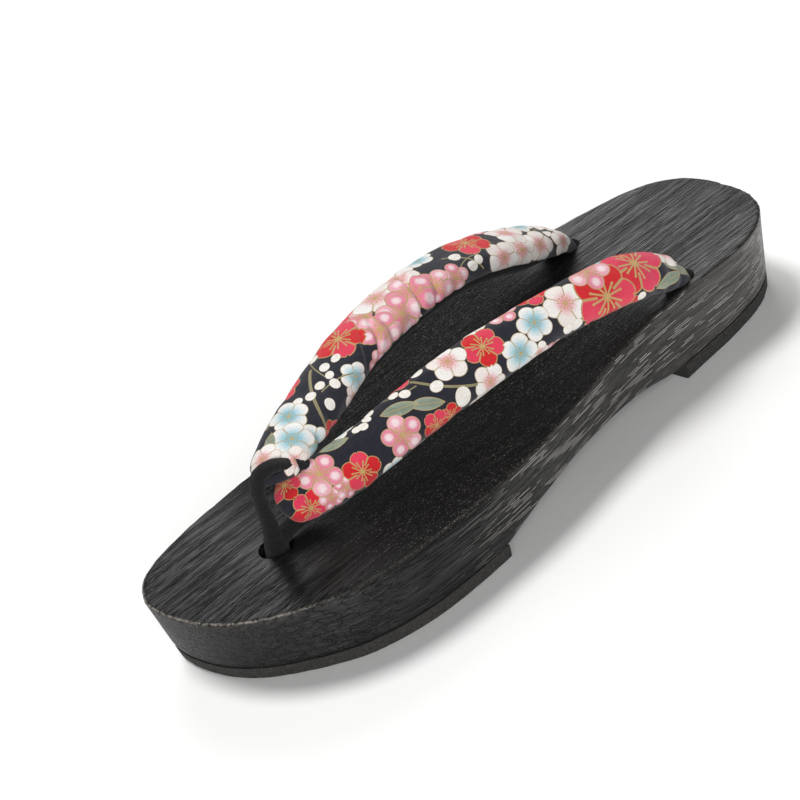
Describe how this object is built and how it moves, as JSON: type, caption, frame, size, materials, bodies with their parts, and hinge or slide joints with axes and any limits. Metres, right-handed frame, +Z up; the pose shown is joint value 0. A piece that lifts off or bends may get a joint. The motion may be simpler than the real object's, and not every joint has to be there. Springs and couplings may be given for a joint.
{
  "type": "geta sandal",
  "caption": "Left-foot wooden geta with a black-stained footbed, rubber pads under forefoot and heel, and a padded floral V strap held by a felt thong",
  "frame": {"origin": "on the ground under the middle of the sandal's bounding box", "axes": "+Y from toe to heel, +X to the outer side of the left foot, +Z up"},
  "size_m": [0.0888, 0.24, 0.0566],
  "materials": {
    "stained_wood": "black stain with open straight grain, half gloss",
    "rubber": "matt, finely speckled",
    "floral_cotton": "printed plain-weave cotton over padding",
    "velvet": "black velvet",
    "felt": "black brushed felt"
  },
  "bodies": {
    "root": {"platform": "stained_wood", "sole_front": "rubber", "sole_heel": "rubber", "strap_cover": "floral_cotton", "lining_outer": "velvet", "lining_inner": "velvet", "thong": "felt"}
  },
  "joints": []
}
